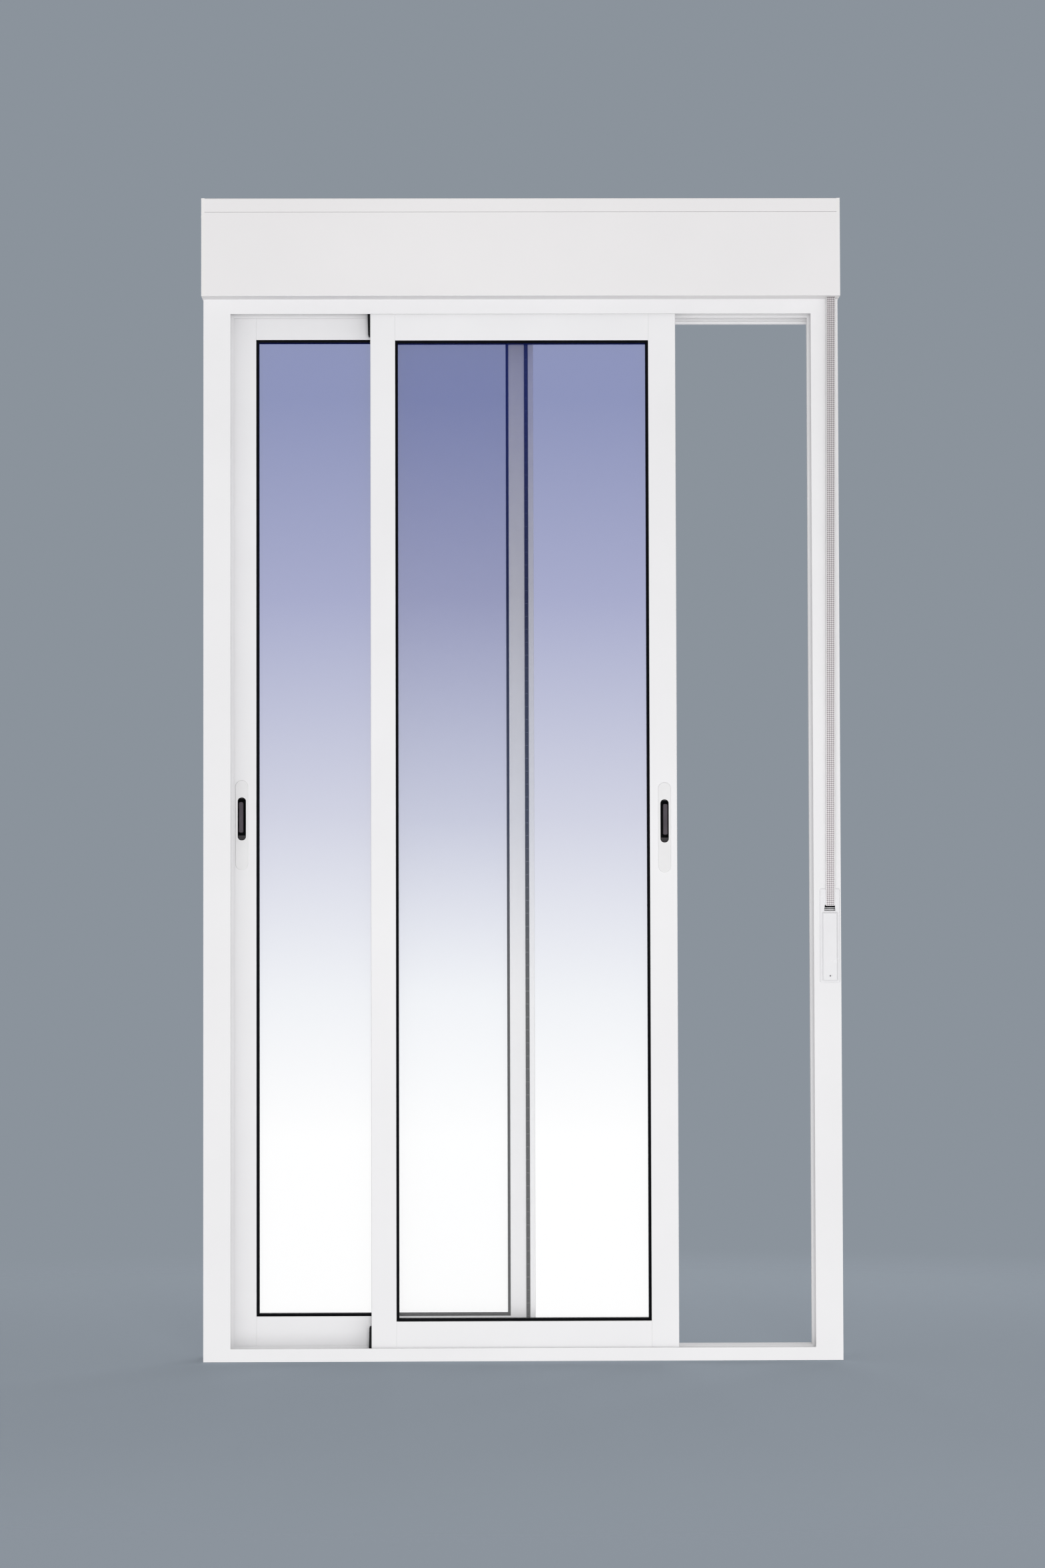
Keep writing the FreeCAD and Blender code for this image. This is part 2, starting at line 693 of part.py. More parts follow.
def box_end_cap(side):
    """End plate with a bearing boss for the shutter's axle and a locating pin."""
    x_inside = side * box_half
    x_outside = side * (box_half + cap_wall)
    low, high = sorted((x_inside, x_outside))
    cap = block(low, high, box_front, box_back, frame_height, box_top)
    axle_y = (box_front + box_back) / 2
    pin_y = box_front + box_band
    for radius, y, rise in ((boss_radius, axle_y, boss_rise), (pin_radius, pin_y, pin_rise)):
        foot = Vector(x_inside, y, frame_height + rise)
        boss = Part.makeCylinder(radius, cap_wall + boss_proud, foot, Vector(side, 0, 0))
        cap = cap.fuse(boss)
    cap = cap.removeSplitter()
    if side > 0:
        edge = box_top - box_band - box_joint
        cap = cap.cut(block(low, high, box_front, box_front + box_panel, frame_height, edge))
    return cap


def shutter_rail(side):
    """Side channel that the shutter's slats run in, behind the jamb."""
    slot_low = slat_middle - rail_slot / 2
    slot_high = slat_middle + rail_slot / 2
    floor = rail_width - rail_slot_depth
    outline = [(0.0, outdoor_face), (rail_width, outdoor_face), (rail_width, slot_low), (floor, slot_low)]
    outline += [(floor, slot_high), (rail_width, slot_high), (rail_width, box_back), (0.0, box_back)]
    far = rail_width - rail_wall
    front_chamber = rectangle(rail_wall, far, outdoor_face + rail_wall, slot_low - rail_wall)
    back_chamber = rectangle(rail_wall, far, slot_high + rail_wall, box_back - rail_wall)
    floor_chamber = rectangle(rail_wall, floor - rail_wall, slot_low, slot_high)

    def place(reach, depth):
        return Vector(side * (half_width - reach), depth, 0)
    rings = [outline, front_chamber, back_chamber, floor_chamber]
    return prism(rings, place, Vector(0, 0, frame_height))


def shutter_end_slat():
    """Lowest slat of the rolled-up shutter, its ends in the side channels."""
    reach = half_width - rail_width + rail_slot_depth - slat_end_gap
    top = slat_foot + slat_height
    half = slat_depth / 2
    outline = [(slat_middle - half, slat_foot, slat_round), (slat_middle + half, slat_foot, slat_round)]
    outline += [(slat_middle + half, top), (slat_middle - half, top)]
    hollow = rectangle(slat_middle - half + slat_wall, slat_middle + half - slat_wall,
                       slat_foot + slat_round, top - slat_wall)

    def place(depth, height):
        return Vector(-reach, depth, height)
    return prism([outline, hollow], place, Vector(2 * reach, 0, 0))


def build_box():
    return {"box_top_panel": box_top_panel(), "box_front_cover": box_front_cover(),
            "box_bottom_panel": box_bottom_panel(), "box_back_panel": box_back_panel(),
            "box_left_end_cap": box_end_cap(-1), "box_right_end_cap": box_end_cap(1),
            "left_shutter_rail": shutter_rail(-1), "right_shutter_rail": shutter_rail(1),
            "shutter_end_slat": shutter_end_slat()}


# Strap and winder

def strap_share(z):
    """How far up the strap's straight run a height lies: 0 at the winder, 1 at the box."""
    return (z - strap_entry_z) / (frame_height - strap_entry_z)


def strap_x(z):
    return strap_slot_x + (strap_top_x - strap_slot_x) * strap_share(z)


def strap_y(z):
    return room_face - strap_slot_stand - (strap_top_stand - strap_slot_stand) * strap_share(z)


def shutter_strap():
    """Woven strap, taut from the box to the winder's slot."""
    top = frame_height + strap_inside
    half = strap_thickness / 2
    slot_y = strap_y(strap_entry_z)
    end_y = room_face + strap_end_depth
    corners = [(strap_y(top) - half, top), (slot_y - half, strap_entry_z - half, strap_turn)]
    corners += [(end_y, strap_entry_z - half), (end_y, strap_entry_z + half)]
    corners += [(slot_y + half, strap_entry_z + half, strap_turn - strap_thickness)]
    corners.append((strap_y(top) + half, top))
    x_low = strap_slot_x - strap_width / 2
    strap = prism([corners], lambda depth, height: Vector(x_low, depth, height), Vector(strap_width, 0, 0))
    lean = math.degrees(math.atan2(strap_top_x - strap_slot_x, frame_height - strap_entry_z))
    strap.rotate(Vector(strap_slot_x, room_face, strap_entry_z), Vector(0, 1, 0), lean)
    return strap


def winder_plane(y_level, z_middle):
    def place(across, up):
        return Vector(winder_x + across, y_level, z_middle + up)
    return place


def winder_mouth(y_low, y_high):
    """Slot that the strap goes in by, through plate and jamb, widening towards its foot."""
    half_top = strap_width / 2 + strap_shift + winder_slot_gap
    half_foot = half_top + winder_slot_flare
    half_height = winder_slot_height / 2
    ring = [(-half_foot, -half_height), (half_foot, -half_height)]
    ring += [(half_top, half_height), (-half_top, half_height)]
    return prism([ring], winder_plane(y_low, winder_slot_z), Vector(0, y_high - y_low, 0))


def winder_plate_piece():
    face = room_face - winder_plate
    ring = centred(winder_width, winder_length, winder_round)
    plate = prism([ring], winder_plane(face, winder_middle), Vector(0, winder_plate, 0))
    return soften_rim(plate, face, winder_edge).cut(winder_mouth(face, room_face))


def winder_cover_piece():
    back = room_face - winder_plate
    face = back - winder_cover_proud
    ring = centred(winder_cover_width, winder_cover_length, winder_round)
    cover = prism([ring], winder_plane(face, winder_cover_z), Vector(0, winder_cover_proud, 0))
    return soften_rim(cover, face, winder_cover_edge)


def build_strap():
    return {"shutter_strap": shutter_strap(), "winder_plate": winder_plate_piece(),
            "winder_cover": winder_cover_piece()}


def main():
    os.makedirs("parts", exist_ok=True)
    pieces = {}
    pieces.update(build_frame())
    pieces.update(build_leaf(inner))
    pieces.update(build_leaf(outer))
    pieces.update(build_box())
    pieces.update(build_strap())
    for name, shape in pieces.items():
        shape.exportStep("parts/" + name + ".step")
        print(name, len(shape.Solids), shape.isValid(), round(shape.Volume))


main()
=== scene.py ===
import bpy
import bmesh
import math
import random
from mathutils import Matrix, Vector


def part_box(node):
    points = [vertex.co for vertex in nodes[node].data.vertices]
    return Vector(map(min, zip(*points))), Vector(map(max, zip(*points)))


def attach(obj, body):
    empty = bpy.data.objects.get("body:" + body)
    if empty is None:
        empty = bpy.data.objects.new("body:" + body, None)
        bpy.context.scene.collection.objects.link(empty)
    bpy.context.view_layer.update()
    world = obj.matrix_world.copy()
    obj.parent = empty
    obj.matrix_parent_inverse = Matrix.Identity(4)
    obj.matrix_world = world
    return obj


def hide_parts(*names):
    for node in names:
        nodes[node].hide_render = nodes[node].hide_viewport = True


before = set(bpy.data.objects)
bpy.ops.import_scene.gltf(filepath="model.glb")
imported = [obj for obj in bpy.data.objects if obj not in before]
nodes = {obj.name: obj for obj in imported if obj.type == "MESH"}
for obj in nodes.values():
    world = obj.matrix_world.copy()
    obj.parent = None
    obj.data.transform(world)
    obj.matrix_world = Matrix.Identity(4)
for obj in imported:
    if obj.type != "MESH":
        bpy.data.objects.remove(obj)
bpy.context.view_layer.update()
scene = bpy.context.scene
scene.view_settings.view_transform = "Standard"
print("frame loaded,", len(nodes), "nodes")


# camera, fitted to the corners of frame, box and leaves in the photo
cameraLook = {
    "place": (-0.0904, -8.1955, 0.7555),
    "yaw": 0.6413,      # degrees, to the right
    "pitch": 2.2932,    # upwards
    "roll": -0.1579,
    "focal": 6500.0,    # in pixels of the 2352 high photo
    "imageHeight": 2352.0,
    "sensor": 36.0,
}


def makeCamera(look):
    data = bpy.data.cameras.new("photoCamera")
    data.sensor_fit = "VERTICAL"
    data.sensor_height = look["sensor"]
    data.lens = look["focal"] / look["imageHeight"] * look["sensor"]
    data.clip_end = 100
    camera = bpy.data.objects.new("photoCamera", data)
    scene.collection.objects.link(camera)
    turn = Matrix.Rotation(-math.radians(look["yaw"]), 4, "Z")
    turn = turn @ Matrix.Rotation(math.radians(90 + look["pitch"]), 4, "X")
    turn = turn @ Matrix.Rotation(math.radians(look["roll"]), 4, "Z")
    camera.matrix_world = Matrix.Translation(look["place"]) @ turn
    scene.camera = camera


makeCamera(cameraLook)
print("camera set")


# node helpers
def addNode(tree, kind, x, y, **settings):
    node = tree.nodes.new(kind)
    node.location = (x, y)
    for name, value in settings.items():
        setattr(node, name, value)
    return node


def fill(node, **values):
    for name, value in values.items():
        node.inputs[name.replace("_", " ")].default_value = value
    return node


def mathNode(tree, operation, x, y, first=None, second=None):
    node = addNode(tree, "ShaderNodeMath", x, y, operation=operation)
    for slot, value in enumerate((first, second)):
        if isinstance(value, (int, float)):
            node.inputs[slot].default_value = value
        elif value is not None:
            tree.links.new(value, node.inputs[slot])
    return node.outputs[0]


def colourMix(tree, x, y, mask, first, second, blend="MIX"):
    node = addNode(tree, "ShaderNodeMix", x, y, data_type="RGBA", blend_type=blend)
    for slot, value in ((0, mask), (6, first), (7, second)):
        if isinstance(value, (int, float)):
            node.inputs[slot].default_value = value
        elif isinstance(value, tuple):
            node.inputs[slot].default_value = (*value, 1)
        else:
            tree.links.new(value, node.inputs[slot])
    return node.outputs[2]


def spread(tree, x, y, value, low, high, fromLow=0.0, fromHigh=1.0):
    node = addNode(tree, "ShaderNodeMapRange", x, y)
    tree.links.new(value, node.inputs["Value"])
    fill(node, From_Min=fromLow, From_Max=fromHigh, To_Min=low, To_Max=high)
    return node.outputs["Result"]


def setStops(ramp, stops):
    elements = ramp.color_ramp.elements
    while len(elements) < len(stops):
        elements.new(0.5)
    for element, (level, colour) in zip(elements, stops):
        element.position = level
        element.color = colour


def startGroup(name, inputs, outputs):
    tree = bpy.data.node_groups.new(name, "ShaderNodeTree")
    for label, kind, value in inputs:
        socket = tree.interface.new_socket(label, in_out="INPUT", socket_type=kind)
        if value is not None:
            socket.default_value = value
    for label, kind in outputs:
        tree.interface.new_socket(label, in_out="OUTPUT", socket_type=kind)
    return tree, addNode(tree, "NodeGroupInput", -900, 0), addNode(tree, "NodeGroupOutput", 500, 0)


def makeFinishGrain():  # fine skin for the bump, slow drift for colour and gloss
    tree, source, result = startGroup(
        "finishGrain",
        [("Vector", "NodeSocketVector", None), ("Skin", "NodeSocketFloat", 600.0),
         ("Drift", "NodeSocketFloat", 3.0)],
        [("Tone", "NodeSocketFloat"), ("Height", "NodeSocketFloat")])
    skin = fill(addNode(tree, "ShaderNodeTexNoise", -500, 200), Detail=3.0, Roughness=0.55)
    drift = fill(addNode(tree, "ShaderNodeTexNoise", -500, -150), Detail=4.0, Roughness=0.6)
    for noise, scale in ((skin, "Skin"), (drift, "Drift")):
        tree.links.new(source.outputs["Vector"], noise.inputs["Vector"])
        tree.links.new(source.outputs[scale], noise.inputs["Scale"])
    tree.links.new(spread(tree, -200, -150, drift.outputs["Fac"], 0.0, 1.0, 0.3, 0.7), result.inputs["Tone"])
    tree.links.new(skin.outputs["Fac"], result.inputs["Height"])
    return tree


def makeSettledDust():  # thin dust on faces that look upwards
    tree, source, result = startGroup(
        "settledDust",
        [("Vector", "NodeSocketVector", None), ("Amount", "NodeSocketFloat", 0.3)],
        [("Mask", "NodeSocketFloat")])
    shape = addNode(tree, "ShaderNodeNewGeometry", -700, 200)
    split = addNode(tree, "ShaderNodeSeparateXYZ", -500, 200)
    tree.links.new(shape.outputs["Normal"], split.inputs[0])
    upward = spread(tree, -300, 200, split.outputs["Z"], 0.0, 1.0, 0.5, 1.0)
    cloud = fill(addNode(tree, "ShaderNodeTexNoise", -500, -150), Scale=35.0, Detail=6.0, Roughness=0.7)
    tree.links.new(source.outputs["Vector"], cloud.inputs["Vector"])
    patch = spread(tree, -300, -150, cloud.outputs["Fac"], 0.4, 1.0, 0.35, 0.65)
    mask = mathNode(tree, "MULTIPLY", -50, 50, upward, patch)
    tree.links.new(mathNode(tree, "MULTIPLY", 200, 50, mask, source.outputs["Amount"]), result.inputs["Mask"])
    return tree


finishGrain = makeFinishGrain()
settledDust = makeSettledDust()


def startMaterial(name):
    material = bpy.data.materials.new(name)
    material.use_nodes = True
    tree = material.node_tree
    tree.nodes.clear()
    shader = addNode(tree, "ShaderNodeBsdfPrincipled", 600, 0)
    output = addNode(tree, "ShaderNodeOutputMaterial", 950, 0)
    tree.links.new(shader.outputs[0], output.inputs[0])
    coords = addNode(tree, "ShaderNodeTexCoord", -1100, 0)
    return material, tree, shader, coords.outputs["Object"]


def useGroup(tree, group, x, y, vector, **values):
    node = addNode(tree, "ShaderNodeGroup", x, y, node_tree=group)
    tree.links.new(vector, node.inputs["Vector"])
    fill(node, **values)
    return node


def addBump(tree, shader, height, depth, strength=1.0):
    bump = fill(addNode(tree, "ShaderNodeBump", 350, -350), Strength=strength, Distance=depth)
    tree.links.new(height, bump.inputs["Height"])
    tree.links.new(bump.outputs["Normal"], shader.inputs["Normal"])


# lacquers, plastics and rubber share one build with their own values
skinLooks = {
    "frameLacquer": {"pale": (0.83, 0.825, 0.835), "deep": (0.795, 0.79, 0.80), "rough": (0.34, 0.44),
                     "skin": 900.0, "drift": 2.2, "bump": 0.00004, "dust": 0.25},
    "leafLacquer": {"pale": (0.835, 0.83, 0.842), "deep": (0.80, 0.795, 0.806), "rough": (0.30, 0.40),
                    "skin": 900.0, "drift": 2.6, "bump": 0.00004, "dust": 0.22},
    "boxFoil": {"pale": (0.82, 0.805, 0.81), "deep": (0.787, 0.772, 0.778), "rough": (0.42, 0.52),
                "skin": 1400.0, "drift": 1.8, "bump": 0.00005, "dust": 0.35},
    "boxCap": {"pale": (0.825, 0.81, 0.805), "deep": (0.79, 0.775, 0.77), "rough": (0.38, 0.50),
               "skin": 1800.0, "drift": 5.0, "bump": 0.00006, "dust": 0.3},
    "latchWhite": {"pale": (0.80, 0.795, 0.80), "deep": (0.765, 0.76, 0.765), "rough": (0.32, 0.42),
                   "skin": 1500.0, "drift": 14.0, "bump": 0.00004, "dust": 0.1},
    "winderWhite": {"pale": (0.80, 0.795, 0.81), "deep": (0.77, 0.765, 0.78), "rough": (0.20, 0.30),
                    "skin": 1200.0, "drift": 12.0, "bump": 0.00002, "dust": 0.15},
    "triggerGrey": {"pale": (0.085, 0.072, 0.083), "deep": (0.065, 0.054, 0.064), "rough": (0.32, 0.46),
                    "skin": 2600.0, "drift": 30.0, "bump": 0.00008, "dust": 0.1},
    "gasketRubber": {"pale": (0.004, 0.004, 0.005), "deep": (0.002, 0.002, 0.003), "rough": (0.52, 0.66),
                     "skin": 1600.0, "drift": 9.0, "bump": 0.00006, "dust": 0.01, "shine": 0.08},
    "blackNylon": {"pale": (0.009, 0.009, 0.010), "deep": (0.005, 0.005, 0.006), "rough": (0.46, 0.60),
                   "skin": 2200.0, "drift": 20.0, "bump": 0.0001, "dust": 0.05, "shine": 0.25},
    "wheelNylon": {"pale": (0.70, 0.68, 0.62), "deep": (0.60, 0.58, 0.52), "rough": (0.36, 0.5),
                   "skin": 1200.0, "drift": 40.0, "bump": 0.00005, "dust": 0.1},
}
dustColour = (0.62, 0.60, 0.57)


def makeSkin(name, look):
    material, tree, shader, place = startMaterial(name)
    shader.inputs["Specular IOR Level"].default_value = look.get("shine", 0.5)
    grain = useGroup(tree, finishGrain, -700, 100, place, Skin=look["skin"], Drift=look["drift"])
    dust = useGroup(tree, settledDust, -700, -250, place, Amount=look["dust"])
    colour = colourMix(tree, -300, 200, grain.outputs["Tone"], look["deep"], look["pale"])
    colour = colourMix(tree, 0, 200, dust.outputs["Mask"], colour, dustColour)
    tree.links.new(colour, shader.inputs["Base Color"])
    gloss = spread(tree, -300, -50, grain.outputs["Tone"], *look["rough"])
    gloss = mathNode(tree, "ADD", 0, -50, gloss, dust.outputs["Mask"])
    tree.links.new(gloss, shader.inputs["Roughness"])
    addBump(tree, shader, grain.outputs["Height"], look["bump"])
    return material


finishes = {name: makeSkin(name, look) for name, look in skinLooks.items()}


# bare and plated metal
metalLooks = {
    "spacerAluminium": {"pale": (0.80, 0.80, 0.81), "deep": (0.66, 0.66, 0.67), "rough": (0.28, 0.42),
                        "streak": (4.0, 260.0, 4.0), "skin": 6.0, "drift": 0.6, "bump": 0.00003},
    "carriageZinc": {"pale": (0.66, 0.66, 0.67), "deep": (0.50, 0.51, 0.53), "rough": (0.30, 0.48),
                     "streak": (60.0, 260.0, 260.0), "skin": 6.0, "drift": 0.6, "bump": 0.00004},
}


def makeMetal(name, look):
    material, tree, shader, place = startMaterial(name)
    shader.inputs["Metallic"].default_value = 1.0
    mapping = fill(addNode(tree, "ShaderNodeMapping", -900, 0), Scale=look["streak"])
    tree.links.new(place, mapping.inputs["Vector"])
    grain = useGroup(tree, finishGrain, -650, 0, mapping.outputs["Vector"],
                     Skin=look["skin"], Drift=look["drift"])
    colour = colourMix(tree, -200, 150, grain.outputs["Tone"], look["deep"], look["pale"])
    tree.links.new(colour, shader.inputs["Base Color"])
    gloss = spread(tree, -200, -80, grain.outputs["Height"], *look["rough"])
    tree.links.new(gloss, shader.inputs["Roughness"])
    addBump(tree, shader, grain.outputs["Height"], look["bump"])
    return material


for name, look in metalLooks.items():
    finishes[name] = makeMetal(name, look)


# double glazing: clear panes, with a coat on the face inside the cavity that carries a painted sky reflection
glassLook = {
    "pane": 0.004,            # thickness
    "clear": 0.01,            # how solid an uncoated face looks
    "shade": 0.66,            # light that the coat keeps back at the head
    "shadeCurve": 1.5,        # how fast that falls off towards the foot
    "reflectionStops": [                # level from foot to head, colour of the painted sky reflection, how solid the coat looks there
        (0.0, (0.97, 0.97, 0.98), 0.10),
        (0.33, (0.95, 0.97, 1.0), 0.10),
        (0.51, (0.29, 0.34, 0.54), 0.15),
        (0.735, (0.05, 0.065, 0.23), 0.22),
        (0.936, (0.03, 0.05, 0.32), 0.28),
    ],
    "rough": (0.02, 0.05), "skin": 8.0, "drift": 5.0,
    "ior": 1.52,
}


def makeGlass(name, node, look):
    low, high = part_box(node)
    material, tree, shader, place = startMaterial(name)
    shader.inputs["IOR"].default_value = look["ior"]
    split = addNode(tree, "ShaderNodeSeparateXYZ", -900, 0)
    tree.links.new(place, split.inputs[0])
    rise = spread(tree, -650, 150, split.outputs["Z"], 0.0, 1.0, low.z, high.z)
    # painted sky reflection on the coat: dark blue at the head, white at the foot
    ramp = addNode(tree, "ShaderNodeValToRGB", -350, 300)
    tree.links.new(rise, ramp.inputs["Fac"])
    setStops(ramp, [(level, (*reflectionColour, solid)) for level, reflectionColour, solid in look["reflectionStops"]])
    tree.links.new(ramp.outputs["Color"], shader.inputs["Base Color"])
    onCoat = mathNode(tree, "COMPARE", -650, -150, split.outputs["Y"], high.y - look["pane"])
    onCoat.node.inputs[2].default_value = look["pane"] / 8
    path = addNode(tree, "ShaderNodeLightPath", -650, 600)
    shadow, diffuse = path.outputs["Is Shadow Ray"], path.outputs["Is Diffuse Ray"]
    lighting = mathNode(tree, "MAXIMUM", -450, 700, shadow, diffuse)
    steep = mathNode(tree, "POWER", -850, 450, rise, look["shadeCurve"])
    shade = spread(tree, -650, 450, steep, 0.0, look["shade"])
    held = mathNode(tree, "MULTIPLY", -450, 600, lighting, shade)
    coat = mathNode(tree, "MAXIMUM", -250, 0, ramp.outputs["Alpha"], held)
    film = addNode(tree, "ShaderNodeMix", -50, -100, data_type="FLOAT")
    film.inputs[2].default_value = look["clear"]
    tree.links.new(onCoat, film.inputs[0])
    tree.links.new(coat, film.inputs[3])
    tree.links.new(film.outputs[0], shader.inputs["Alpha"])
    smear = useGroup(tree, finishGrain, -650, -450, place, Skin=look["skin"], Drift=look["drift"])
    gloss = spread(tree, -350, -450, smear.outputs["Tone"], *look["rough"])
    tree.links.new(gloss, shader.inputs["Roughness"])
    return material


# finger pan of a latch: grey moulding at its rim, painted shade turning it black in its depth
panLook = {
    # rim is the moulding's own grey; depth is painted shade, near black
    "rim": (0.052, 0.049, 0.052), "depth": (0.0015, 0.0015, 0.002),
    "shelf": 0.0045, "floor": 0.0075,       # depths between which the painted shade turns it black
    "rough": (0.45, 0.6), "skin": 2400.0, "drift": 30.0, "bump": 0.00005, "shine": 0.2,
}


def makePan(name, node, look):
    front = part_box(node)[0].y
    material, tree, shader, place = startMaterial(name)
    shader.inputs["Specular IOR Level"].default_value = look["shine"]
    split = addNode(tree, "ShaderNodeSeparateXYZ", -900, 0)
    tree.links.new(place, split.inputs[0])
    # painted shade: black laid over the moulding deeper than the shelf
    shadeDepthMask = spread(tree, -600, 150, split.outputs["Y"], 0.0, 1.0, front + look["shelf"], front + look["floor"])
    tree.links.new(colourMix(tree, -200, 150, shadeDepthMask, look["rim"], look["depth"]), shader.inputs["Base Color"])
    grain = useGroup(tree, finishGrain, -600, -200, place, Skin=look["skin"], Drift=look["drift"])
    gloss = spread(tree, -200, -80, grain.outputs["Tone"], *look["rough"])
    tree.links.new(gloss, shader.inputs["Roughness"])
    addBump(tree, shader, grain.outputs["Height"], look["bump"])
    return material


finishes["innerPan"] = makePan("innerPan", "inner_latch_case", panLook)
finishes["outerPan"] = makePan("outerPan", "outer_latch_case", panLook)
finishes["innerGlass"] = makeGlass("innerGlass", "inner_glass_panes", glassLook)
finishes["outerGlass"] = makeGlass("outerGlass", "outer_glass_panes", glassLook)
print("finishes made,", len(finishes))


# which CAD node wears which finish
wears = {
    "frameLacquer": ["left_jamb", "right_jamb", "head_track", "sill_track", "left_shutter_rail",
                     "right_shutter_rail", "shutter_end_slat"],
    "boxFoil": ["box_top_panel", "box_front_cover", "box_bottom_panel", "box_back_panel"],
    "boxCap": ["box_left_end_cap", "box_right_end_cap"],
    "winderWhite": ["winder_plate", "winder_cover"],
}
leafWears = {
    "leafLacquer": ["lock_stile", "meeting_stile", "top_rail", "bottom_rail"],
    "spacerAluminium": ["glass_spacer"],
    "gasketRubber": ["glass_gasket"],
    "wheelNylon": ["roller_wheels"],
    "carriageZinc": ["roller_carriages"],
    "blackNylon": ["head_guides", "wind_stops", "meeting_brush"],
    "latchWhite": ["latch_plate"],
    "triggerGrey": ["latch_trigger"],
}


def dress(name, finish):
    for slot in nodes[name].material_slots:
        slot.material = finishes[finish]


for finish, names in wears.items():
    for name in names:
        dress(name, finish)
for leaf in ("inner", "outer"):
    dress(leaf + "_glass_panes", leaf + "Glass")
    dress(leaf + "_latch_case", leaf + "Pan")
    for finish, names in leafWears.items():
        for name in names:
            dress(leaf + "_" + name, finish)
print("CAD nodes dressed")


# mesh helpers
def vertsOf(items):
    return [item for item in items if isinstance(item, bmesh.types.BMVert)]


def facesOf(items):
    return [item for item in items if isinstance(item, bmesh.types.BMFace)]


def turnMesh(bm, verts, angle, axis):
    bmesh.ops.rotate(bm, cent=(0, 0, 0), matrix=Matrix.Rotation(angle, 3, axis), verts=verts)


def addPiece(bm, name, material):
    mesh = bpy.data.meshes.new(name)
    bm.to_mesh(mesh)
    bm.free()
    mesh.materials.append(material)
    piece = bpy.data.objects.new(name, mesh)
    scene.collection.objects.link(piece)
    return piece


def finishPiece(bm, name, material, body, smooth=True):
    bmesh.ops.recalc_face_normals(bm, faces=bm.faces[:])
    piece = addPiece(bm, name, material)
    for face in piece.data.polygons:
        face.use_smooth = smooth
    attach(piece, body)
    return piece


# woven strap, taut from the box to the winder, then round into its slot
strapLook = {
    "width": 0.0165,
    "thick": 0.0012,
    "top": (0.5796, -0.063, 2.0), "inside": 0.04,     # x is set at the foot, the lean moves the top
    "slot": (0.5796, -0.045, 0.85195),
    "lean": math.atan2(0.0059, 1.14805),
    "turn": 0.0026,
    "end": -0.0395,
    "diamond": 0.0023,
    "yarnPale": (0.95, 0.92, 0.93), "yarnDark": (0.31, 0.27, 0.29), "selvage": (0.90, 0.885, 0.89),
    "selvageWidth": 0.0013,
    "edgeThin": 0.55,         # thickness left at the worn edges
    "rough": (0.75, 0.9), "skin": 2500.0, "drift": 60.0, "bump": 0.0002, "sheen": 0.15,
}


def makeStrapCloth(look):
    material, tree, shader, place = startMaterial("strapCloth")
    shader.inputs["Sheen Weight"].default_value = look["sheen"]
    middle = addNode(tree, "ShaderNodeMapping", -900, 200)
    middle.vector_type = "TEXTURE"
    fill(middle, Location=look["slot"], Rotation=(0, look["lean"], 0))
    tree.links.new(place, middle.inputs["Vector"])
    diagonal = fill(addNode(tree, "ShaderNodeMapping", -700, 200), Rotation=(0, math.radians(45), 0))
    tree.links.new(middle.outputs["Vector"], diagonal.inputs["Vector"])
    checks = []
    for y, direction in ((350, "X"), (100, "Z")):
        band = addNode(tree, "ShaderNodeTexWave", -500, y, wave_type="BANDS", bands_direction=direction)
        fill(band, Scale=math.pi / 10 / (look["diamond"] / math.sqrt(2)) / math.pi, Distortion=0.0)
        tree.links.new(diagonal.outputs["Vector"], band.inputs["Vector"])
        checks.append(mathNode(tree, "SUBTRACT", -300, y, band.outputs["Fac"], 0.5))
    weave = mathNode(tree, "MULTIPLY", -120, 250, checks[0], checks[1])
    weave = spread(tree, 40, 250, weave, 0.0, 1.0, -0.16, 0.16)
    colour = colourMix(tree, 200, 250, weave, look["yarnDark"], look["yarnPale"])
    split = addNode(tree, "ShaderNodeSeparateXYZ", -500, -150)
    tree.links.new(middle.outputs["Vector"], split.inputs[0])
    offset = mathNode(tree, "ABSOLUTE", -300, -150, split.outputs["X"])
    onEdge = mathNode(tree, "GREATER_THAN", -120, -150, offset, look["width"] / 2 - look["selvageWidth"])
    colour = colourMix(tree, 380, 200, onEdge, colour, look["selvage"])
    tree.links.new(colour, shader.inputs["Base Color"])
    fuzz = useGroup(tree, finishGrain, -500, -400, place, Skin=look["skin"], Drift=look["drift"])
    gloss = spread(tree, -200, -400, fuzz.outputs["Tone"], *look["rough"])
    tree.links.new(gloss, shader.inputs["Roughness"])
    height = mathNode(tree, "ADD", 150, -300, weave, fuzz.outputs["Height"])
    addBump(tree, shader, height, look["bump"])
    return material


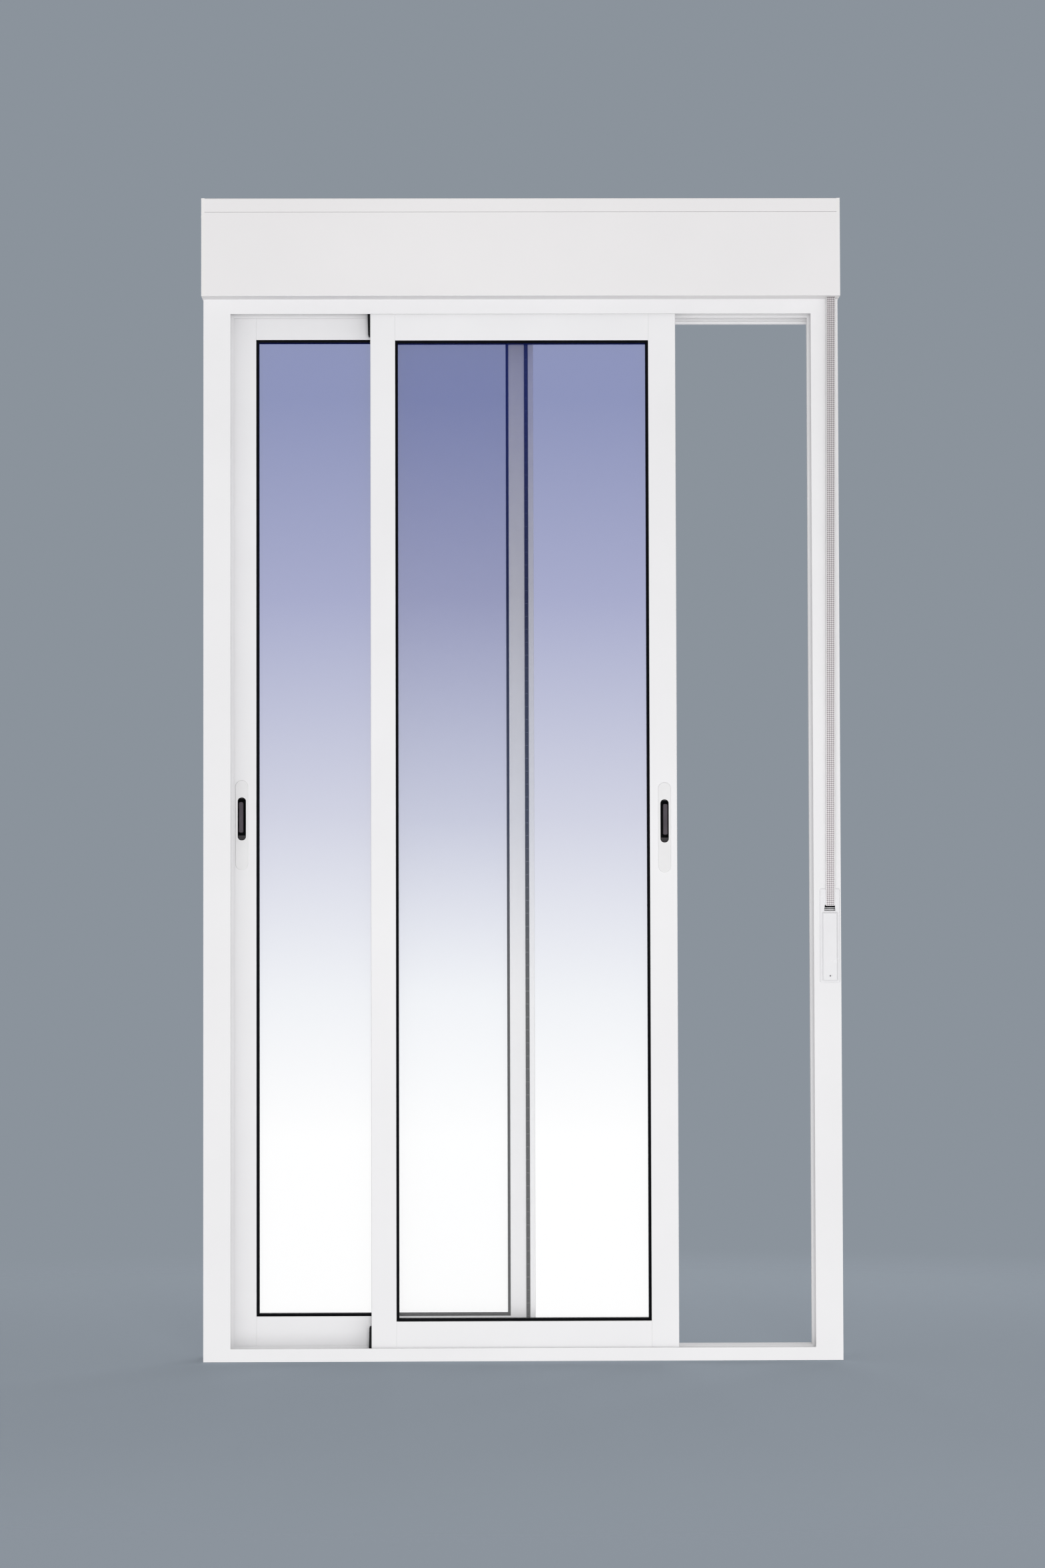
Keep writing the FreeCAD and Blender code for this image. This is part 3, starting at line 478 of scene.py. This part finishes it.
def makeStrap(look):
    top = Vector(look["top"]) + Vector((0, 0, look["inside"]))
    slope = (look["slot"][1] - look["top"][1]) / (look["top"][2] - look["slot"][2])
    top.y -= slope * look["inside"]
    slot = Vector(look["slot"])
    bm = bmesh.new()
    bmesh.ops.create_grid(bm, x_segments=12, y_segments=2, size=0.5)
    bmesh.ops.scale(bm, vec=(look["width"], look["thick"], 1), verts=bm.verts[:])
    for vert in bm.verts:
        if abs(vert.co.x) > look["width"] * 0.49:
            vert.co.y *= look["edgeThin"]
    bmesh.ops.translate(bm, vec=top, verts=bm.verts[:])
    foot = slot + Vector((0, 0, look["turn"] - look["thick"] / 2))

    def carry(section, travel):
        made = bmesh.ops.extrude_face_region(bm, geom=section)["geom"]
        bmesh.ops.translate(bm, vec=travel, verts=vertsOf(made))
        return facesOf(made)

    run = carry(bm.faces[:], foot - top)
    centre = foot + Vector((0, look["turn"] - look["thick"] / 2, 0))
    turned = bmesh.ops.spin(bm, geom=run, cent=centre, axis=(1, 0, 0), angle=math.pi / 2, steps=6)
    carry(facesOf(turned["geom_last"]), Vector((0, look["end"] - centre.y, 0)))
    bmesh.ops.remove_doubles(bm, verts=bm.verts[:], dist=1e-6)
    bmesh.ops.rotate(bm, cent=slot, matrix=Matrix.Rotation(look["lean"], 3, "Y"), verts=bm.verts[:])
    strap = finishPiece(bm, "wovenStrap", makeStrapCloth(look), "frame")
    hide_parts("shutter_strap")
    return strap


makeStrap(strapLook)
print("strap woven")


# pile brushes in the meeting stiles: a backing and clustered tufts
pileLook = {
    "seed": 7,
    "backing": 0.0012,
    "rows": 5, "steps": 14, "cluster": 0.0242,
    "tuft": 0.00055, "tip": 0.55,             # radius at the root, share of it at the tip
    "length": (0.88, 0.97), "middle": 0.46,   # shares of the pile's depth
    "jitter": 0.0003,
    "pale": (0.008, 0.008, 0.010), "deep": (0.003, 0.003, 0.004),
    "rough": (0.75, 0.95), "skin": 1800.0, "drift": 220.0, "sheen": 0.2,
}


def makePileCloth(look):
    material, tree, shader, place = startMaterial("brushPile")
    shader.inputs["Sheen Weight"].default_value = look["sheen"]
    grain = useGroup(tree, finishGrain, -600, 0, place, Skin=look["skin"], Drift=look["drift"])
    colour = colourMix(tree, -200, 150, grain.outputs["Tone"], look["deep"], look["pale"])
    tree.links.new(colour, shader.inputs["Base Color"])
    gloss = spread(tree, -200, -80, grain.outputs["Height"], *look["rough"])
    tree.links.new(gloss, shader.inputs["Roughness"])
    return material


def makeBrush(name, node, body, towards, material, look):
    low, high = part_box(node)
    rng = random.Random(look["seed"])
    root = low.y if towards > 0 else high.y
    reach = high.y - low.y
    width = high.x - low.x
    bm = bmesh.new()
    backing = bmesh.ops.create_cube(bm, size=1)["verts"]
    bmesh.ops.scale(bm, vec=(width, look["backing"], look["cluster"]), verts=backing)
    middle = Vector(((low.x + high.x) / 2, root + towards * look["backing"] / 2, low.z + look["cluster"] / 2))
    bmesh.ops.translate(bm, vec=middle, verts=backing)
    pile = reach - look["backing"]
    for row in range(look["rows"]):
        for step in range(look["steps"]):
            tuft = bmesh.ops.create_cone(bm, segments=4, cap_ends=True, radius1=look["tuft"],
                                         radius2=look["tuft"] * look["tip"],
                                         depth=pile * rng.uniform(*look["length"]))["verts"]
            turnMesh(bm, tuft, -towards * math.pi / 2, "X")
            across = low.x + width * (row + 0.5) / look["rows"] + rng.uniform(-1, 1) * look["jitter"]
            along = low.z + look["cluster"] * (step + 0.5) / look["steps"]
            along += rng.uniform(-1, 1) * look["jitter"]
            depth = root + towards * (look["backing"] + pile * look["middle"])
            bmesh.ops.translate(bm, vec=(across, depth, along), verts=tuft)
    brush = finishPiece(bm, name, material, body, smooth=False)
    repeat = brush.modifiers.new("repeat", "ARRAY")
    repeat.use_relative_offset = False
    repeat.use_constant_offset = True
    repeat.count = int((high.z - low.z) / look["cluster"])
    repeat.constant_offset_displace = (0, 0, (high.z - low.z - look["cluster"]) / (repeat.count - 1))
    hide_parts(node)
    return brush


pileCloth = makePileCloth(pileLook)
makeBrush("innerPile", "inner_meeting_brush", "inner_leaf", 1, pileCloth, pileLook)
makeBrush("outerPile", "outer_meeting_brush", "outer_leaf", -1, pileCloth, pileLook)
print("brushes made")


# winder: capped screw at its foot, two guide rollers in its mouth
winderLook = {
    "screwPlace": (0.5788, 0.7195), "screwRadius": 0.0040, "screwProud": 0.0006,
    "screwEdge": 0.7, "screwCrown": 0.86,     # shares of how far it stands proud and of its radius
    "recess": 0.0013, "recessDepth": 0.0009, "wellGrowth": 1.02,
    "rollerLength": 0.0196, "rollerY": -0.0418,
    "rollers": ((0.8474, 0.0007), (0.8441, 0.0009)),     # level and radius
    "mouthTop": 0.0188, "mouthFoot": 0.0208, "mouthHeight": 0.0108, "mouthLevel": 0.8475,
    "mouthBack": -0.0391, "mouthFront": -0.0432,
}


def makeScrew(look):
    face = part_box("winder_cover")[0].y
    x, z = look["screwPlace"]
    bm = bmesh.new()
    bmesh.ops.create_circle(bm, segments=32, radius=look["screwRadius"], cap_ends=True)
    crown = vertsOf(bmesh.ops.extrude_face_region(bm, geom=bm.faces[:])["geom"])
    bmesh.ops.translate(bm, vec=(0, 0, look["screwProud"] * 2), verts=crown)
    rim = [edge for edge in bm.edges if all(vert in crown for vert in edge.verts)]
    bmesh.ops.bevel(bm, geom=rim, offset=look["screwProud"] * look["screwEdge"], offset_type="OFFSET",
                    affect="EDGES", segments=3, profile=0.5, material=-1)
    top = max(bm.faces, key=lambda item: item.calc_center_median().z)
    ledge = look["screwRadius"] * look["screwCrown"] - look["recess"]
    bmesh.ops.inset_individual(bm, faces=[top], thickness=ledge)
    well = bmesh.ops.extrude_face_region(bm, geom=[top])["geom"]
    bmesh.ops.translate(bm, vec=(0, 0, -look["recessDepth"]), verts=vertsOf(well))
    bmesh.ops.delete(bm, geom=[top], context="FACES_ONLY")
    turnMesh(bm, bm.verts[:], math.pi / 2, "X")
    bmesh.ops.translate(bm, vec=(x, face + look["screwProud"], z), verts=bm.verts[:])
    return finishPiece(bm, "winderScrew", finishes["winderWhite"], "frame", smooth=False)


def winderMiddle():
    low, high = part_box("winder_plate")
    return (low.x + high.x) / 2


def makeRollers(look):
    bm = bmesh.new()
    for level, radius in look["rollers"]:
        roller = bmesh.ops.create_cone(bm, segments=16, radius1=radius, radius2=radius,
                                       depth=look["rollerLength"], cap_ends=True)["verts"]
        turnMesh(bm, roller, math.pi / 2, "Y")
        bmesh.ops.translate(bm, vec=(winderMiddle(), look["rollerY"], level), verts=roller)
    return finishPiece(bm, "winderRollers", finishes["winderWhite"], "frame")


def makeSocketShade(look):     # dark disc in the screw's head, painted shade of its well
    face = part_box("winder_cover")[0].y
    x, z = look["screwPlace"]
    bm = bmesh.new()
    bmesh.ops.create_circle(bm, segments=16, radius=look["recess"] * look["wellGrowth"], cap_ends=True)
    turnMesh(bm, bm.verts[:], math.pi / 2, "X")
    bmesh.ops.translate(bm, vec=(x, face - look["screwProud"] / 2, z), verts=bm.verts[:])
    return finishPiece(bm, "winderSocketShade", finishes["triggerGrey"], "frame", smooth=False)


def makeMouthShade(look):      # black sheet in the winder's mouth, painted shade of the throat behind the strap
    bm = bmesh.new()
    bmesh.ops.create_grid(bm, x_segments=1, y_segments=1, size=0.5)
    for vert in bm.verts:
        width = look["mouthTop"] if vert.co.y > 0 else look["mouthFoot"]
        level = look["mouthLevel"] + vert.co.y * look["mouthHeight"]
        vert.co = (winderMiddle() + vert.co.x * width, look["mouthBack"], level)
    walls = bmesh.ops.extrude_face_region(bm, geom=bm.faces[:])["geom"]
    bmesh.ops.translate(bm, vec=(0, look["mouthFront"] - look["mouthBack"], 0), verts=vertsOf(walls))
    bmesh.ops.delete(bm, geom=facesOf(walls), context="FACES_ONLY")
    return finishPiece(bm, "winderMouthShade", finishes["blackNylon"], "frame", smooth=False)


makeScrew(winderLook)
makeSocketShade(winderLook)
makeRollers(winderLook)
makeMouthShade(winderLook)
print("winder fitted")


# studio: grey-blue surround, even light from the front, a little from the sides and the floor
studioLook = {
    "surround": (0.258, 0.292, 0.332),
    "ambient": 0.48,
    "floorSize": 40.0, "floorDrop": 0.0005,
    "floorTone": (0.404, 0.457, 0.519),
    "fadeStart": 1.6, "fadeEnd": 3.2,
    "glassLayers": 2.5,       # the card shows once a ray has passed this many faces
    "layerLimit": 24,         # both leaves and the card can stand in one line
    "cardPlace": 0.4, "cardApron": 0.06, "cardWidth": 4.0, "cardHeight": 2.1,
    "skyReflectionTones": [            # height on the card, colour of the painted sky reflection
        (0.40, (1.0, 1.0, 1.0)),
        (0.676, (0.863, 0.879, 0.913)),
        (1.03, (0.713, 0.72, 0.815)),
        (1.472, (0.50, 0.523, 0.721)),
        (1.867, (0.374, 0.41, 0.58)),
    ],
    "lamps": [
        ("frontSoftbox", (0.5, -9.2, 1.3), (0.0, 0.0, 1.2), 2.0, 275.0),
        ("bounceCard", (0.0, -3.6, 0.02), (0.0, -2.2, 2.0), 4.0, 52.0),
        ("keySoftbox", (3.6, -5.6, 1.8), (0.0, 0.0, 1.1), 3.0, 10.0),
        ("fillSoftbox", (-4.2, -5.4, 1.4), (0.0, 0.0, 1.1), 3.0, 14.0),
        ("rearSoftbox", (1.5, 6.5, 2.4), (0.0, 0.0, 1.1), 4.0, 150.0),
        ("rearCard", (0.0, 3.4, 0.02), (0.0, 3.0, 2.0), 4.0, 70.0),
    ],
}


def seenBackground(tree, x, y):  # 1 for rays that should meet the surround
    path = addNode(tree, "ShaderNodeLightPath", x, y)
    seen = mathNode(tree, "MAXIMUM", x + 200, y, path.outputs["Is Camera Ray"], path.outputs["Is Glossy Ray"])
    return mathNode(tree, "MAXIMUM", x + 400, y, seen, path.outputs["Is Transmission Ray"])


def startPaint(name):      # material for the stage, without the usual shader
    material, tree, shader, place = startMaterial(name)
    output = shader.outputs[0].links[0].to_node
    tree.nodes.remove(shader)
    return material, tree, output, place


def blendShaders(tree, mask, first, second, output):
    blend = addNode(tree, "ShaderNodeMixShader", 600, 0)
    tree.links.new(mask, blend.inputs[0])
    tree.links.new(first.outputs[0], blend.inputs[1])
    tree.links.new(second.outputs[0], blend.inputs[2])
    tree.links.new(blend.outputs[0], output.inputs[0])


def makeWorld(look):
    world = bpy.data.worlds.new("studio")
    scene.world = world
    world.use_nodes = True
    tree = world.node_tree
    tree.nodes.clear()
    ambient = addNode(tree, "ShaderNodeBackground", 0, 100)
    fill(ambient, Color=(1, 1, 1, 1), Strength=look["ambient"])
    surround = addNode(tree, "ShaderNodeBackground", 0, -100)
    fill(surround, Color=(*look["surround"], 1), Strength=1.0)
    output = addNode(tree, "ShaderNodeOutputWorld", 900, 0)
    blendShaders(tree, seenBackground(tree, -700, 300), ambient, surround, output)


def makeFloor(look):
    bm = bmesh.new()
    bmesh.ops.create_grid(bm, x_segments=1, y_segments=1, size=look["floorSize"] / 2)
    bmesh.ops.translate(bm, vec=(0, 0, -look["floorDrop"]), verts=bm.verts[:])
    material, tree, output, place = startPaint("floorPaint")
    matt = fill(addNode(tree, "ShaderNodeBsdfDiffuse", 300, 100), Color=(*look["floorTone"], 1))
    clear = addNode(tree, "ShaderNodeBsdfTransparent", 300, -100)
    distance = addNode(tree, "ShaderNodeVectorMath", -600, 0, operation="LENGTH")
    tree.links.new(place, distance.inputs[0])
    fade = spread(tree, -300, 0, distance.outputs["Value"], 0.0, 1.0, look["fadeStart"], look["fadeEnd"])
    fade.node.interpolation_type = "SMOOTHSTEP"
    unseen = mathNode(tree, "SUBTRACT", -300, -300, 1.0, seenBackground(tree, -1000, -300))
    blendShaders(tree, mathNode(tree, "MAXIMUM", 0, -150, fade, unseen), matt, clear, output)
    floor = addPiece(bm, "studioFloor", material)


def makeSkyCard(look):    # graded card that only shows through the panes, a painted sky reflection for the glass
    bm = bmesh.new()
    bmesh.ops.create_grid(bm, x_segments=1, y_segments=1, size=0.5)
    bmesh.ops.scale(bm, vec=(look["cardWidth"], look["cardHeight"], 1), verts=bm.verts[:])
    turnMesh(bm, bm.verts[:], math.pi / 2, "X")
    bmesh.ops.translate(bm, vec=(0, look["cardPlace"], look["cardHeight"] / 2), verts=bm.verts[:])
    foot = [edge for edge in bm.edges if all(vert.co.z < 0.01 for vert in edge.verts)]
    apron = bmesh.ops.extrude_edge_only(bm, edges=foot)["geom"]
    bmesh.ops.translate(bm, vec=(0, look["cardApron"] - look["cardPlace"], 0), verts=vertsOf(apron))
    material, tree, output, place = startPaint("skyPaint")
    split = addNode(tree, "ShaderNodeSeparateXYZ", -700, 0)
    tree.links.new(place, split.inputs[0])
    ramp = addNode(tree, "ShaderNodeValToRGB", -200, 0)
    rise = spread(tree, -450, 0, split.outputs["Z"], 0.0, 1.0, 0.0, look["cardHeight"])
    tree.links.new(rise, ramp.inputs["Fac"])
    setStops(ramp, [(height / look["cardHeight"], (*tone, 1)) for height, tone in look["skyReflectionTones"]])
    glow = addNode(tree, "ShaderNodeEmission", 200, 100)
    tree.links.new(ramp.outputs["Color"], glow.inputs["Color"])
    clear = addNode(tree, "ShaderNodeBsdfTransparent", 200, -100)
    path = addNode(tree, "ShaderNodeLightPath", -450, -300)
    passed = path.outputs["Transparent Depth"]
    behindGlass = mathNode(tree, "GREATER_THAN", -200, -300, passed, look["glassLayers"])
    blendShaders(tree, behindGlass, clear, glow, output)
    card = addPiece(bm, "skyCard", material)
    for ray in ("diffuse", "glossy", "transmission", "volume_scatter", "shadow"):
        setattr(card, "visible_" + ray, False)
    scene.cycles.transparent_max_bounces = look["layerLimit"]


def makeLamps(look):
    for name, place, aim, size, power in look["lamps"]:
        data = bpy.data.lights.new(name, "AREA")
        data.size = size
        data.energy = power
        lamp = bpy.data.objects.new(name, data)
        scene.collection.objects.link(lamp)
        lamp.visible_camera = False
        lamp.visible_glossy = name in ("keySoftbox", "fillSoftbox")   # the rest would mirror in the panes
        turn = (Vector(aim) - Vector(place)).to_track_quat("-Z", "Y").to_matrix().to_4x4()
        lamp.matrix_world = Matrix.Translation(place) @ turn


makeWorld(studioLook)
makeFloor(studioLook)
makeSkyCard(studioLook)
makeLamps(studioLook)
print("studio lit")
